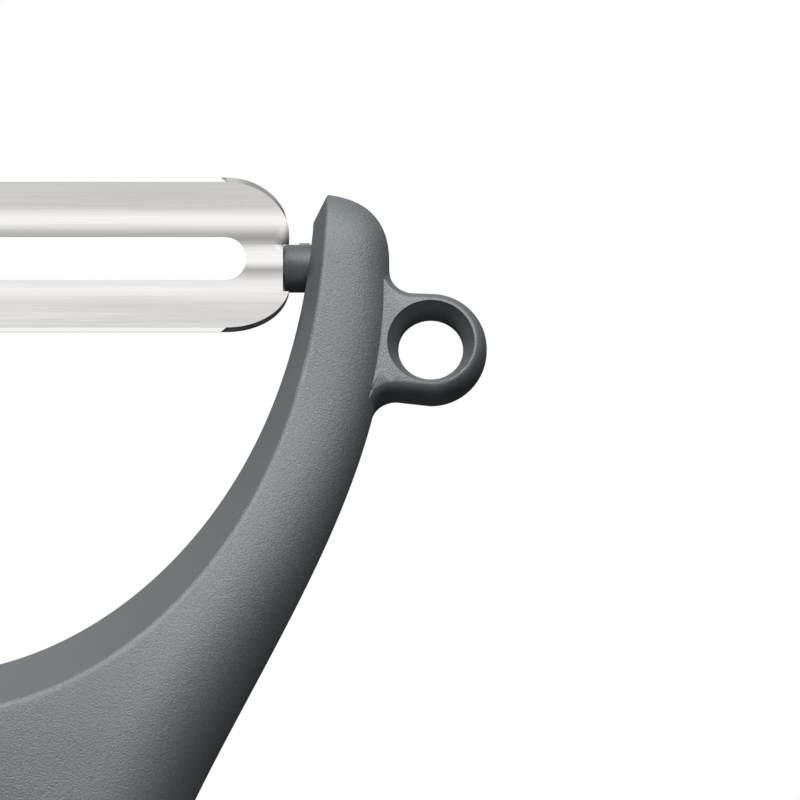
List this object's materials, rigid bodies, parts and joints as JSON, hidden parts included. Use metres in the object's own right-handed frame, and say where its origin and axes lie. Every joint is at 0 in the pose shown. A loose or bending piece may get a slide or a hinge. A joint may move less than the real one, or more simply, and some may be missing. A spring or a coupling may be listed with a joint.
{
  "type": "vegetable peeler",
  "caption": "Wide fork-shaped vegetable peeler with a slotted swivelling steel blade, a potato-eye ring on one arm and a hanging hole in the grip.",
  "frame": {"origin": "centre of the hanging hole, half way through the grip", "axes": "+Z from the hanging hole up towards the blade, +X along the blade towards the arm with the ring, -Y out of the front"},
  "size_m": [0.0812, 0.0174, 0.1397],
  "materials": {
    "grip_plastic": "finely textured",
    "blade_steel": "brushed along the blade",
    "pin_steel": "satin"
  },
  "bodies": {
    "handle": {"handle": "grip_plastic", "pivot_pin_left": "pin_steel", "pivot_pin_right": "pin_steel"},
    "blade": {"blade": "blade_steel"}
  },
  "joints": [
    {"name": "blade_swivel", "type": "hinge", "parent": "handle", "child": "blade", "pos_m": [0, 0.00368, 0.12058], "axis": [1, 0, 0], "range_deg": [-35, 35]}
  ]
}
